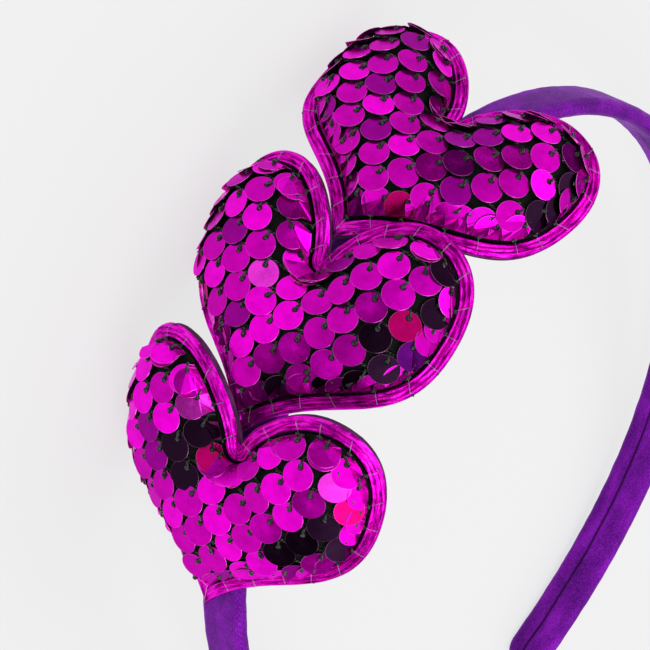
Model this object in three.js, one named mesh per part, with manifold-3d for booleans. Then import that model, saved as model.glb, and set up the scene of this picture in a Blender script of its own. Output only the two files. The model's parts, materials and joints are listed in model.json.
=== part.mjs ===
// A heart headband: a narrow satin covered hair band with three padded sequin hearts,
// glued one over another down its left side. Millimetres. It lies on its side as it
// would on a table, +Z up, the crown of the band towards +Y and the hearts towards -X.

import * as THREE from 'three';
import { mergeVertices } from 'three/addons/utils/BufferGeometryUtils.js';
import { ConvexHull } from 'three/addons/math/ConvexHull.js';
import Module from 'manifold-3d';

const wasm = await Module();
wasm.setup();

// Gap left between pieces that touch on the real headband
const clearance = 0.3;

// Band: its length is measured along the middle of the strip, from tip to tip
const bandLength = 350;
const bandWidth = 9;
const bandThickness = 3.4;
const bandTipRound = 4;
const bandSteps = 42;
const bandTipSteps = 3;
const bandStrides = 96;

// How hard half of the band is bent: turn in radians for a half length, at shares of it
const bandBend = [
  { along: 0, turn: 2.40 },
  { along: 1 / 3, turn: 2.72 },
  { along: 2 / 3, turn: 2.74 },
  { along: 1, turn: 1.18 },
];

// Lap of the satin on the band's inner face
const seamWidth = 2.2;
const seamHeight = 0.35;
const seamOffset = 0.9;

// Heart outline, from its point to the tops of its lobes
const heartLength = 47.1;
const heartWidth = 55.8;
const notchDepth = 13.5;
const lobeSpread = 30.8;
const widestDepth = 14.5;

// Handles of the outline's curves, as shares of the stretch that each of them spans
const notchHandle = { across: 0.0325, up: 0.28 };
const lobeHandles = { inside: 0.47, outside: 0.63 };
const flankHandles = { above: 0.6, below: 0.33 };
const pointHandle = { across: 0.182, up: 0.348 };
const outlineSteps = [6, 6, 7];
const notchFan = 3;

// Level of a heart's middle, where it sits on the band, as a share of its length
const middleLevel = 0.488;

// Heart layers
const backThickness = 1.0;
const edgeWidth = 2.7;
const edgeThickness = 1.0;
const padHeight = 7;
const flankWidth = 11;

// Rings that a flat layer is drawn in, from its centre to its rim, so that it can bend
const layerShares = [1, 0.6, 0.3, 0];

// Sequins lie in staggered rows like shingles, each raised at its edge towards the point
const sequinDiameter = 4.7;
const sequinSpacing = 0.12;
const sequinSewingAngle = 54.5;
const sequinTopRow = 4.44;
const sequinMargin = 0.2;
const sequinLeast = 0.22;
const sequinEdge = 0.2;
const sequinLift = 0.7;
const sequinSides = 10;
const sequinTrim = 0.05;

// Where each heart is glued: down is the way from the crown along the band to its middle,
// as a share of the band's length, and side is how far it sits off the strip, as a share
// of its width. Twist, roll and pitch tilt it (degrees). Droop is the radius that its lobes
// are bent round the strip, as a share of its width, and loft is its share of the pad height.
const hearts = [
  { name: 'top', down: 0.0923, side: 0, twist: -3.4, roll: 12.3, pitch: 3.3, droop: 1.434, loft: 1.03 },
  { name: 'middle', down: 0.1894, side: 0.04, twist: -3.1, roll: 0.3, pitch: 9, droop: 1.147, loft: 1.01 },
  { name: 'lower', down: 0.278, side: 0.22, twist: -6.5, roll: 1.3, pitch: 13.1, droop: 1.048, loft: 0.94 },
].map((heart) => ({
  ...heart,
  down: heart.down * bandLength,
  side: heart.side * bandWidth,
  droop: heart.droop * heartWidth,
  loft: heart.loft * padHeight,
}));

// Corners closer than this are one
const weld = 1e-4;

const satin = new THREE.MeshStandardMaterial({ color: 0x6a1fa8, roughness: 0.42, metalness: 0.1 });
const sequined = new THREE.MeshStandardMaterial({ color: 0xd012b4, roughness: 0.22, metalness: 0.7 });
const foil = new THREE.MeshStandardMaterial({ color: 0xb0128c, roughness: 0.3, metalness: 0.5 });
const felt = new THREE.MeshStandardMaterial({ color: 0x8a1a78, roughness: 0.9, metalness: 0 });

// Joins rings of equally many points into one closed skin with its faces outwards.
// A ring whose points are all the same closes an end.
function skin(rings, endless = false) {
  const count = rings[0].length;
  const positions = rings.flat().flatMap((p) => [p.x, p.y, p.z]);
  const indices = [];
  const last = endless ? rings.length : rings.length - 1;
  for (let k = 0; k < last; k += 1) {
    const next = (k + 1) % rings.length;
    for (let i = 0; i < count; i += 1) {
      const j = (i + 1) % count;
      const corners = [k * count + i, k * count + j, next * count + j, next * count + i];
      indices.push(corners[0], corners[1], corners[2], corners[0], corners[2], corners[3]);
    }
  }
  const geometry = new THREE.BufferGeometry();
  geometry.setAttribute('position', new THREE.Float32BufferAttribute(positions, 3));
  geometry.setIndex(indices);
  return outward(withoutSlivers(mergeVertices(geometry, weld)));
}

// Drops the triangles that merging has closed to a line or a point
function withoutSlivers(geometry) {
  const index = geometry.getIndex().array;
  const kept = [];
  for (let i = 0; i < index.length; i += 3) {
    const [a, b, c] = [index[i], index[i + 1], index[i + 2]];
    if (a !== b && b !== c && c !== a) kept.push(a, b, c);
  }
  geometry.setIndex(kept);
  return geometry;
}

// Volume and centre of a closed skin, from its triangles
function solidity(geometry) {
  const p = geometry.getAttribute('position');
  const index = geometry.getIndex().array;
  const [a, b, c] = [new THREE.Vector3(), new THREE.Vector3(), new THREE.Vector3()];
  const moment = new THREE.Vector3();
  let volume = 0;
  for (let i = 0; i < index.length; i += 3) {
    a.fromBufferAttribute(p, index[i]);
    b.fromBufferAttribute(p, index[i + 1]);
    c.fromBufferAttribute(p, index[i + 2]);
    const part = a.dot(b.clone().cross(c)) / 6;
    volume += part;
    moment.addScaledVector(a.clone().add(b).add(c), part / 4);
  }
  return { volume, centre: moment.divideScalar(volume) };
}

function outward(geometry) {
  if (solidity(geometry).volume < 0) geometry.getIndex().array.reverse();
  return geometry;
}

function toManifold(geometry) {
  return new wasm.Manifold(new wasm.Mesh({
    numProp: 3,
    vertProperties: new Float32Array(geometry.getAttribute('position').array),
    triVerts: new Uint32Array(geometry.getIndex().array),
  }));
}

function fromManifold(solid) {
  const mesh = solid.getMesh();
  const geometry = new THREE.BufferGeometry();
  geometry.setAttribute('position', new THREE.Float32BufferAttribute(mesh.vertProperties, 3));
  geometry.setIndex(new THREE.Uint32BufferAttribute(mesh.triVerts, 1));
  return geometry;
}

function piece(name, geometry, material) {
  const mesh = new THREE.Mesh(geometry, material);
  mesh.name = name;
  return mesh;
}

// Band

function bendRate(share) {
  const next = Math.max(1, bandBend.findIndex((row) => row.along >= share));
  const [from, to] = [bandBend[next - 1], bandBend[next]];
  const mix = (share - from.along) / (to.along - from.along);
  return THREE.MathUtils.lerp(from.turn, to.turn, mix) / (bandLength / 2);
}

// Middle of the strip at a way along it from the crown, negative on the left: the point,
// the direction towards the right tip and the direction away from the head
function bandAt(way) {
  const side = Math.sign(way) || 1;
  const stride = Math.abs(way) / bandStrides;
  const point = new THREE.Vector3();
  let heading = 0;
  for (let i = 0; i < bandStrides; i += 1) {
    const turn = bendRate(((i + 0.5) * stride) / (bandLength / 2)) * stride;
    const middle = heading + turn / 2;
    point.x += side * Math.cos(middle) * stride;
    point.y -= Math.sin(middle) * stride;
    heading += turn;
  }
  const along = new THREE.Vector3(Math.cos(heading), -side * Math.sin(heading), 0);
  const away = new THREE.Vector3(-along.y, along.x, 0);
  return { point, along, away };
}

// Section of the strip: across its width and out from the head, both edges rounded,
// with the lap of its cover raised on the face towards the head
function bandSection() {
  const radius = bandThickness / 2;
  const flat = bandWidth / 2 - radius;
  const round = (middle, angles) => angles.map((angle) => new THREE.Vector2(
    middle + radius * Math.cos(THREE.MathUtils.degToRad(angle)),
    radius * Math.sin(THREE.MathUtils.degToRad(angle)),
  ));
  const lap = (across, height) => new THREE.Vector2(seamOffset + across, -radius - height);
  return [
    ...round(flat, [-90, -30, 30, 90]),
    ...round(-flat, [90, 150, 210, 270]),
    lap(-seamWidth / 2, 0),
    lap(-seamWidth * 0.3, seamHeight),
    lap(seamWidth * 0.3, seamHeight),
    lap(seamWidth / 2, 0),
  ];
}

function bandGeometry() {
  const section = bandSection();
  const half = bandLength / 2;
  const stations = [];
  for (let i = 0; i <= bandTipSteps; i += 1) {
    const angle = (Math.PI / 2) * (i / bandTipSteps);
    stations.push({ way: half - bandTipRound * (1 - Math.sin(angle)), size: Math.cos(angle) });
  }
  const body = half - bandTipRound;
  const rings = [];
  const ring = ({ way, size }) => {
    const { point, away } = bandAt(way);
    return section.map((p) => point.clone()
      .addScaledVector(away, p.y * size)
      .setZ(p.x * (1 - (1 - size) * (bandThickness / bandWidth))));
  };
  const cap = (way) => section.map(() => bandAt(way).point);
  const tip = (sign) => stations.slice(1, -1).map((s) => ring({ way: sign * s.way, size: s.size }));
  rings.push(cap(-half), ...tip(-1).reverse());
  for (let i = 0; i <= bandSteps; i += 1) {
    rings.push(ring({ way: body * ((2 * i) / bandSteps - 1), size: 1 }));
  }
  rings.push(...tip(1), cap(half));
  return skin(rings);
}

// Hearts. A heart is laid out flat, its point at (0, 0) and its lobes towards +Y, and then
// bent round the strip. Height 0 is the parting between its back and its pressed edge.

const middleOfHeart = heartLength * middleLevel;

// Right half of the outline from the notch round the lobe to the point, with the
// direction that faces into the heart. The notch is a corner, so it has a fan of them.
function halfOutline() {
  const lobeTop = new THREE.Vector2(lobeSpread / 2, heartLength);
  const widest = new THREE.Vector2(heartWidth / 2, heartLength - widestDepth);
  const notch = new THREE.Vector2(0, heartLength - notchDepth);
  const crown = (heartWidth - lobeSpread) / 2;
  const curves = [
    new THREE.CubicBezierCurve(
      notch,
      new THREE.Vector2(lobeTop.x * notchHandle.across, notch.y + notchDepth * notchHandle.up),
      new THREE.Vector2(lobeTop.x * lobeHandles.inside, lobeTop.y),
      lobeTop,
    ),
    new THREE.CubicBezierCurve(
      lobeTop,
      new THREE.Vector2(lobeTop.x + crown * lobeHandles.outside, lobeTop.y),
      new THREE.Vector2(widest.x, widest.y + widestDepth * flankHandles.above),
      widest,
    ),
    new THREE.CubicBezierCurve(
      widest,
      new THREE.Vector2(widest.x, widest.y * flankHandles.below),
      new THREE.Vector2(heartWidth * pointHandle.across, heartLength * pointHandle.up),
      new THREE.Vector2(0, 0),
    ),
  ];
  const stops = [];
  const stop = (curve, share) => {
    const tangent = curve.getTangentAt(share);
    stops.push({ point: curve.getPointAt(share), inward: new THREE.Vector2(tangent.y, -tangent.x) });
  };
  const first = curves[0].getTangentAt(0);
  const leaving = Math.atan2(-first.x, first.y);
  for (let i = 0; i < notchFan; i += 1) {
    const angle = THREE.MathUtils.lerp(-Math.PI / 2, leaving, i / notchFan);
    stops.push({ point: notch.clone(), inward: new THREE.Vector2(Math.cos(angle), Math.sin(angle)) });
  }
  curves.forEach((curve, k) => {
    for (let i = 0; i < outlineSteps[k]; i += 1) stop(curve, i / outlineSteps[k]);
  });
  stop(curves[2], 1);
  return stops;
}

// Whole outline, moved into the heart by an inset. What the inset carries over the
// middle line near the point is held on it, where the two sides meet.
function outline(inset) {
  const right = halfOutline().map(({ point, inward }) => point.clone().addScaledVector(inward, inset));
  const crossing = right.findIndex((p, i) => i > notchFan && p.x < 0);
  if (crossing > 0) {
    const [a, b] = [right[crossing - 1], right[crossing]];
    const meeting = new THREE.Vector2(0, THREE.MathUtils.lerp(a.y, b.y, a.x / (a.x - b.x)));
    for (let i = crossing; i < right.length; i += 1) right[i] = meeting.clone();
  }
  const left = right.slice(1, -1).reverse().map((p) => new THREE.Vector2(-p.x, p.y));
  return [...right, ...left].reverse();
}

const heartRim = outline(0);
const padRim = outline(edgeWidth + clearance);
const heartCentre = new THREE.Vector2(0, heartLength * 0.467);

function depthInside(rim, p) {
  let nearest = Infinity;
  rim.forEach((a, i) => {
    const b = rim[(i + 1) % rim.length];
    const side = b.clone().sub(a);
    const share = THREE.MathUtils.clamp(p.clone().sub(a).dot(side) / (side.lengthSq() || 1), 0, 1);
    nearest = Math.min(nearest, p.distanceTo(a.clone().addScaledVector(side, share)));
  });
  return nearest;
}

function isInside(rim, p) {
  let inside = false;
  rim.forEach((a, i) => {
    const b = rim[(i + 1) % rim.length];
    if ((a.y > p.y) !== (b.y > p.y) && p.x < ((b.x - a.x) * (p.y - a.y)) / (b.y - a.y) + a.x) {
      inside = !inside;
    }
  });
  return inside;
}

// Height of the padded front over the parting: steep at its rim, flat on top
function loftAt(heart, p) {
  const shoulder = clearance / 2 + edgeThickness;
  const share = Math.min(depthInside(padRim, p) / flankWidth, 1);
  return shoulder + (heart.loft - shoulder) * Math.sqrt(1 - (1 - share) ** 2);
}

// Bends a point of the flat layout round the strip
function bent(heart, x, y, height) {
  const angle = x / heart.droop;
  const radius = heart.droop + height;
  return new THREE.Vector3(
    radius * Math.sin(angle),
    y - middleOfHeart,
    radius * Math.cos(angle) - heart.droop,
  );
}

function shrunk(rim, share) {
  return rim.map((p) => p.clone().lerp(heartCentre, share));
}

// A sheet cut to the outline. Rings inside the rim let it follow the bend.
function backGeometry(heart) {
  const [top, bottom] = [-clearance / 2, -clearance / 2 - backThickness];
  const layer = (share, height) => shrunk(heartRim, share).map((p) => bent(heart, p.x, p.y, height));
  return skin([
    ...layerShares.map((share) => layer(share, bottom)),
    ...layerShares.toReversed().map((share) => layer(share, top)),
  ]);
}

// The pressed rim: a flat ring with two rounded ridges along it
const edgeSection = [
  { inset: 0, height: 0 },
  { inset: 0, height: 0.6 },
  { inset: 0.25, height: 1 },
  { inset: 0.5, height: 0.7 },
  { inset: 0.78, height: 1 },
  { inset: 1, height: 0 },
];

function edgeGeometry(heart) {
  const rings = edgeSection.map(({ inset, height }) => outline(inset * edgeWidth)
    .map((p) => bent(heart, p.x, p.y, clearance / 2 + height * edgeThickness)));
  return skin(rings, true);
}

function isOnPad(p, margin) {
  return isInside(padRim, p) && depthInside(padRim, p) > margin;
}

// Fall of the padded front at a point: how steeply its height grows along X and along Y
function slopeAt(heart, p) {
  const probe = 0.3;
  const height = (dx, dy) => loftAt(heart, new THREE.Vector2(p.x + dx, p.y + dy));
  return new THREE.Vector2(height(probe, 0) - height(-probe, 0), height(0, probe) - height(0, -probe))
    .divideScalar(2 * probe);
}

// Round outline of a sequin seen from above, narrower down the slope where the dome falls
// and cut off where it would reach over the rim of the pad
function footprint(heart, seat) {
  const slope = slopeAt(heart, seat);
  const narrowing = 1 - 1 / Math.hypot(1, slope.length());
  const fall = slope.clone().normalize();
  return Array.from({ length: sequinSides }, (_, i) => {
    const angle = (2 * Math.PI * (i + 0.5)) / sequinSides;
    const arm = new THREE.Vector2(Math.cos(angle), Math.sin(angle)).multiplyScalar(sequinDiameter / 2);
    arm.addScaledVector(fall, -narrowing * arm.dot(fall));
    const reach = (share) => seat.clone().addScaledVector(arm, share);
    let share = 1;
    while (!isOnPad(reach(share), sequinMargin)) share -= sequinTrim;
    return reach(share);
  });
}

// Middles of the sequins in the flat layout, row below row from the lobes to the point
function sequinSeats() {
  const spacing = sequinDiameter + sequinSpacing;
  const rowPitch = spacing * Math.sin(THREE.MathUtils.degToRad(sequinSewingAngle));
  const columnPitch = 2 * spacing * Math.cos(THREE.MathUtils.degToRad(sequinSewingAngle));
  const columns = Math.ceil(heartWidth / columnPitch / 2);
  const seats = [];
  for (let row = 0; row * rowPitch < heartLength; row += 1) {
    const y = heartLength - sequinTopRow - row * rowPitch;
    for (let column = -columns; column <= columns; column += 1) {
      const seat = new THREE.Vector2((column + (row % 2) / 2) * columnPitch, y);
      if (isOnPad(seat, sequinDiameter * sequinLeast)) seats.push(seat);
    }
  }
  return seats;
}

// The padded front with its sequins in one body. Its ground is the outline with a round
// hole for each sequin, and each hole is filled by a flat drum that slants over the dome.
function padGeometry(heart) {
  const triangles = [];
  const face = (...corners) => triangles.push(...corners);
  const raise = (p, height = loftAt(heart, p)) => bent(heart, p.x, p.y, height);
  const circles = sequinSeats().map((seat) => ({ seat, rim: footprint(heart, seat) }));
  const corners = [...padRim, ...circles.flatMap((circle) => circle.rim)];
  const ground = THREE.ShapeUtils.triangulateShape(padRim, circles.map((circle) => circle.rim));
  ground.forEach(([a, b, c]) => face(raise(corners[a]), raise(corners[b]), raise(corners[c])));
  circles.forEach(({ seat, rim }) => {
    const slope = slopeAt(heart, seat);
    slope.y -= sequinLift / sequinDiameter;
    const middle = loftAt(heart, seat) + sequinEdge + sequinLift / 2;
    const top = (p) => raise(p, middle + slope.dot(p.clone().sub(seat)));
    rim.forEach((a, i) => {
      const b = rim[(i + 1) % rim.length];
      face(raise(a), raise(b), top(b));
      face(raise(a), top(b), top(a));
      face(top(a), top(b), top(seat));
    });
  });
  const floor = clearance / 2;
  layerShares.slice(1).forEach((share, k) => {
    const inner = shrunk(padRim, layerShares[k]).map((p) => raise(p, floor));
    const outer = shrunk(padRim, share).map((p) => raise(p, floor));
    outer.forEach((a, i) => {
      const j = (i + 1) % outer.length;
      face(inner[i], inner[j], outer[j]);
      face(inner[i], outer[j], a);
    });
  });
  padRim.forEach((a, i) => {
    const b = padRim[(i + 1) % padRim.length];
    face(raise(a, floor), raise(b, floor), raise(b));
    face(raise(a, floor), raise(b), raise(a));
  });
  const geometry = new THREE.BufferGeometry().setFromPoints(triangles);
  return outward(withoutSlivers(mergeVertices(geometry, weld)));
}

// Room that a heart takes for itself, over the edge of the heart that is tucked under it
function coverGeometry(heart) {
  const rim = outline(-clearance);
  const underside = -clearance / 2 - backThickness - clearance;
  const layer = (share, height) => shrunk(rim, share).map((p) => bent(heart, p.x, p.y, height));
  return skin([
    ...layerShares.map((share) => layer(share, underside)),
    ...layerShares.toReversed().map((share) => layer(share, heart.loft)),
  ]);
}

// Group of one heart with its place on the strip: its inner group carries the tilt
function placeHeart(heart, lift) {
  const { point, along, away } = bandAt(-heart.down);
  const onBand = new THREE.Group();
  const across = new THREE.Vector3(0, 0, 1);
  onBand.quaternion.setFromRotationMatrix(new THREE.Matrix4().makeBasis(across, along, away));
  onBand.position.copy(point).addScaledVector(away, lift).addScaledVector(across, heart.side);
  const tilted = new THREE.Group();
  const [pitch, roll, twist] = [heart.pitch, heart.roll, heart.twist].map(THREE.MathUtils.degToRad);
  tilted.rotation.set(pitch, roll, twist, 'XYZ');
  onBand.add(tilted);
  onBand.updateMatrixWorld(true);
  return { onBand, tilted };
}

// How far from the middle of the strip a heart has to sit for its back to clear the band
function seatLift(heart, band) {
  const points = band.getAttribute('position');
  const underside = -clearance / 2 - backThickness - clearance;
  const p = new THREE.Vector3();
  const seatRounds = 3;
  let lift = 0;
  for (let round = 0; round < seatRounds; round += 1) {
    const { tilted } = placeHeart(heart, lift);
    let short = -Infinity;
    for (let i = 0; i < points.count; i += 1) {
      tilted.worldToLocal(p.fromBufferAttribute(points, i));
      const x = Math.atan2(p.x, p.z + heart.droop) * heart.droop;
      const height = Math.hypot(p.x, p.z + heart.droop) - heart.droop;
      if (isInside(heartRim, new THREE.Vector2(x, p.y + middleOfHeart))) {
        short = Math.max(short, height - underside);
      }
    }
    lift += short;
  }
  return lift;
}

// Turns the headband so that it lies as it would by itself: on the face of its hull that
// is under its weight, the hearts' edges and the far leg of the band
function layDown(group) {
  group.updateMatrixWorld(true);
  const points = [];
  const weight = new THREE.Vector3();
  let total = 0;
  group.traverse((node) => {
    if (!node.isMesh) return;
    const p = node.geometry.getAttribute('position');
    for (let i = 0; i < p.count; i += 1) {
      points.push(new THREE.Vector3().fromBufferAttribute(p, i).applyMatrix4(node.matrixWorld));
    }
    const { volume, centre } = solidity(node.geometry);
    weight.addScaledVector(centre.applyMatrix4(node.matrixWorld), volume);
    total += volume;
  });
  weight.divideScalar(total);
  const carries = (face) => {
    let edge = face.edge;
    do {
      const side = edge.head().point.clone().sub(edge.tail().point);
      const inward = face.normal.clone().cross(side);
      if (inward.dot(weight.clone().sub(edge.tail().point)) < 0) return false;
      edge = edge.next;
    } while (edge !== face.edge);
    return true;
  };
  const faces = new ConvexHull().setFromPoints(points).faces.filter(carries);
  const under = faces.reduce((a, b) => (a.normal.z < b.normal.z ? a : b)).normal;
  group.quaternion.setFromUnitVectors(under, new THREE.Vector3(0, 0, -1));
  group.updateMatrixWorld(true);
  const box = new THREE.Box3();
  points.forEach((p) => box.expandByPoint(p.applyQuaternion(group.quaternion)));
  group.position.copy(box.getCenter(new THREE.Vector3())).negate().setZ(-box.min.z);
  return group;
}

// Pressed flat where the next heart lies over it
function tucked(geometry, under, over) {
  if (!over) return geometry;
  const cover = coverGeometry(over.heart);
  cover.applyMatrix4(over.tilted.matrixWorld).applyMatrix4(under.tilted.matrixWorld.clone().invert());
  const [solid, room] = [toManifold(geometry), toManifold(cover)];
  return solid.intersect(room).isEmpty() ? geometry : fromManifold(solid.subtract(room));
}

const headband = new THREE.Group();
const band = bandGeometry();
headband.add(piece('band', band, satin));
const placed = hearts.map((heart) => ({ heart, ...placeHeart(heart, seatLift(heart, band)) }));
placed.forEach((place, i) => {
  const { heart, onBand, tilted } = place;
  const add = (layer, geometry, material) => {
    tilted.add(piece(`${heart.name}_heart_${layer}`, tucked(geometry, place, placed[i + 1]), material));
  };
  add('pad', padGeometry(heart), sequined);
  add('edge', edgeGeometry(heart), foil);
  add('back', backGeometry(heart), felt);
  headband.add(onBand);
});

export default layDown(headband);
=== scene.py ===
"""The heart headband: a satin covered hair band with three padded sequin hearts down one side."""

import json
import math
import random

import bpy
import numpy as np
from mathutils import Matrix, Vector, noise
from mathutils.geometry import interpolate_bezier


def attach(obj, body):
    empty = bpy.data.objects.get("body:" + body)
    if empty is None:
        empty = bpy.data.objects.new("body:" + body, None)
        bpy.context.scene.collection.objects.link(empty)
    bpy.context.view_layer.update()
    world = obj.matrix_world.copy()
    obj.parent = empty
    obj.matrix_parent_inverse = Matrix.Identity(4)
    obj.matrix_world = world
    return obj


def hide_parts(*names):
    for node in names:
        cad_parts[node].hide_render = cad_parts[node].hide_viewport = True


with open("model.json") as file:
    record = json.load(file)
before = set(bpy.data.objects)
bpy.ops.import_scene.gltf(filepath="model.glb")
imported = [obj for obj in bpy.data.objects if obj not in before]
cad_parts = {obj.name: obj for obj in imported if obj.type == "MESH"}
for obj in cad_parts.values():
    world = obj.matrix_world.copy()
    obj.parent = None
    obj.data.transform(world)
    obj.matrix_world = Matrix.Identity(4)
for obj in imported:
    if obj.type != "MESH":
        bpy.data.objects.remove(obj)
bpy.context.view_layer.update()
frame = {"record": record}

MM = 0.001

# How the headband lies. The band is a flat bow that lies on its side, on the rims of the hearts
# and on its far leg, so the plane of the bow is a little tipped. In the headband's own layout the
# middle of the crown is at the origin, X goes to the bare side, Y up to the crown, Z across the strip.
faces = {mount["name"]: mount for mount in frame["record"]["mounts"]}
CROWN_FACE_SPOT = Vector((3.967, -1.923, -1.5)) * MM
across_strip = Vector(faces["crown_inner"]["axis"]).cross(faces["right_outer"]["axis"]).normalized()
lying_turn = Vector((0, 0, 1)).rotation_difference(across_strip).to_matrix()
crown_middle = Vector(faces["crown_inner"]["pos_m"]) - lying_turn @ CROWN_FACE_SPOT
lying = Matrix.Translation(crown_middle) @ lying_turn.to_4x4()


# Band. A springy plastic strip covered in purple satin, whose edges are lapped and glued down the
# face towards the head. The cover is drawn round the strip and puckers a little along its length.
BAND_LENGTH = 350 * MM
BAND_WIDTH = 9 * MM
BAND_THICKNESS = 3.4 * MM
BAND_TIP_ROUND = 4 * MM
BAND_BEND = [(0, 2.40), (1 / 3, 2.72), (2 / 3, 2.74), (1, 1.18)]
BAND_CUTS = 20
BAND_SIDES = 40
SEAM_OFFSET = 0.9 * MM
SEAM_WIDTH = 2.2 * MM
SEAM_HEIGHT = 0.35 * MM
SEAM_EDGE = SEAM_OFFSET - 1.15 * SEAM_WIDTH / 2
SEAM_WAVER = 0.3 * MM
SEAM_GROOVE = 0.25 * MM
PUCKER = 0.1 * MM
LEAN = 0.12 * MM


def bow_line(half_length, strides=700):
    """Points from the crown down one leg, each with its heading, at even strides."""
    stride = half_length / strides
    shares, turns = zip(*BAND_BEND)
    x = y = heading = 0.0
    line = [(x, y, heading)]
    for i in range(strides):
        turn = np.interp((i + 0.5) / strides, shares, turns) / strides
        x += math.cos(heading + turn / 2) * stride
        y -= math.sin(heading + turn / 2) * stride
        heading += turn
        line.append((x, y, heading))
    return np.array(line)


bow = bow_line(BAND_LENGTH / 2)
bow_steps = np.arange(len(bow))


def bow_at(way):
    """Middle of the strip at a way from the crown, negative on the hearts' leg: its point, the
    direction towards the bare leg's tip and the direction away from the head."""
    side = math.copysign(1, way)
    share = abs(way) / (BAND_LENGTH / 2) * (len(bow) - 1)
    x, y, heading = (np.interp(share, bow_steps, bow[:, k]) for k in range(3))
    along = Vector((math.cos(heading), -side * math.sin(heading), 0))
    return Vector((side * x, y, 0)), along, Vector((-along.y, along.x, 0))


def select_only(piece):
    """Makes a piece the only selected object and the active one."""
    bpy.ops.object.select_all(action="DESELECT")
    piece.select_set(True)
    bpy.context.view_layer.objects.active = piece


def apply_modifiers(piece):
    """Applies every modifier of a piece to its mesh."""
    select_only(piece)
    for modifier in list(piece.modifiers):
        bpy.ops.object.modifier_apply(modifier=modifier.name)


def keep_layout(piece, name="layout"):
    """Keeps where each point of a piece lies before it is bent, in millimetres, for its material."""
    places = piece.data.attributes.new(name, "FLOAT_VECTOR", "POINT")
    for vertex, place in zip(piece.data.vertices, places.data):
        place.vector = vertex.co / MM


bpy.ops.object.select_all(action="DESELECT")
bpy.ops.mesh.primitive_cylinder_add(
    vertices=BAND_SIDES, radius=BAND_THICKNESS / 2, depth=BAND_LENGTH, rotation=(0, math.pi / 2, 0)
)
band = bpy.context.object
band.name = "satin_band"
bpy.ops.object.transform_apply(location=False, rotation=True, scale=False)
for span in (BAND_LENGTH / 2, BAND_LENGTH / (3 * BAND_CUTS)):
    bpy.ops.object.mode_set(mode="EDIT")
    bpy.ops.mesh.select_mode(type="EDGE")
    bpy.ops.mesh.select_all(action="DESELECT")
    bpy.ops.object.mode_set(mode="OBJECT")
    for edge in band.data.edges:
        ends = [band.data.vertices[i].co for i in edge.vertices]
        edge.select = abs(ends[0].x - ends[1].x) > span
    bpy.ops.object.mode_set(mode="EDIT")
    bpy.ops.mesh.subdivide(number_cuts=BAND_CUTS)
    bpy.ops.mesh.select_mode(type="VERT")
    bpy.ops.object.mode_set(mode="OBJECT")
flat_half = (BAND_WIDTH - BAND_THICKNESS) / 2
for vertex in band.data.vertices:
    # Widened to a flat strip with round edges, and drawn in to round tips
    place = vertex.co
    place.z += math.copysign(flat_half, place.z) if abs(place.z) > 1e-6 else 0
    over_tip = abs(place.x) - (BAND_LENGTH / 2 - BAND_TIP_ROUND)
    if over_tip > 0:
        size = math.sqrt(max(0.0, 1 - (over_tip / BAND_TIP_ROUND) ** 2))
        place.y *= size
        place.z *= 1 - (1 - size) * BAND_THICKNESS / BAND_WIDTH
keep_layout(band)
for vertex in band.data.vertices:
    place = vertex.co
    way = place.x / MM
    across = place.z / MM
    waver = SEAM_WAVER * noise.noise(Vector((way / 9, 5, 0)))
    pucker = noise.noise(Vector((way / 2.6, across / 5, 3 if place.y > 0 else 8)))
    lean = noise.noise(Vector((way / 14, across / 9, 21)))
    out = place.y / (BAND_THICKNESS / 2)
    lap = 0.0
    if place.y < 0:
        from_lap = (place.z - SEAM_OFFSET - waver) / (SEAM_WIDTH / 2)
        lap = SEAM_HEIGHT * max(0.0, 1 - from_lap**4) if abs(from_lap) < 1 else 0.0
        lap -= SEAM_GROOVE * math.exp(-(((from_lap + 1.15) / 0.2) ** 2))
    swell = PUCKER * pucker + LEAN * lean
    point, along, away = bow_at(max(min(place.x, BAND_LENGTH / 2), -BAND_LENGTH / 2))
    height = place.y + out * swell - lap * (abs(out) > 0.6)
    vertex.co = point + away * height + Vector((0, 0, place.z * (1 + 0.02 * pucker)))
band.data.transform(lying)


def new_material(name):
    """An empty material with its shader."""
    material = bpy.data.materials.new(name)
    material.use_nodes = True
    return material, material.node_tree, material.node_tree.nodes["Principled BSDF"]


def wire(tree, kind, inputs=None, **settings):
    """Adds a node. Its inputs are given by name or place, as another node's output or a value."""
    node = tree.nodes.new(kind)
    for key, value in settings.items():
        setattr(node, key, value)
    for key, value in (inputs or {}).items():
        if isinstance(value, bpy.types.NodeSocket):
            tree.links.new(value, node.inputs[key])
        else:
            node.inputs[key].default_value = value
    return node


def reckon(tree, operation, *values):
    """One step of arithmetic on node outputs and numbers."""
    return wire(tree, "ShaderNodeMath", dict(enumerate(values)), operation=operation).outputs[0]


def ramp(tree, source, stops):
    """A colour ramp over a value. Each stop is a place and a colour."""
    node = wire(tree, "ShaderNodeValToRGB", {0: source})
    elements = node.color_ramp.elements
    while len(elements) < len(stops):
        elements.new(0.5)
    for element, (place, colour) in zip(elements, stops):
        element.position = place
        element.color = (*colour, 1)
    return node.outputs["Color"]


def layout_of(tree, name="layout"):
    """A place or direction that was kept on the points of a piece."""
    return wire(tree, "ShaderNodeAttribute", attribute_name=name).outputs["Vector"]


def stretched(tree, vector, scale):
    """A place with each axis scaled, for patterns longer one way than another."""
    return wire(tree, "ShaderNodeMapping", {"Vector": vector, "Scale": scale}).outputs[0]


def mottle(tree, vector, scale, detail=3.0, roughness=0.55):
    """Soft uneven patches, from 0 to 1."""
    inputs = {"Vector": vector, "Scale": scale, "Detail": detail, "Roughness": roughness}
    return wire(tree, "ShaderNodeTexNoise", inputs).outputs["Fac"]


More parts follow.
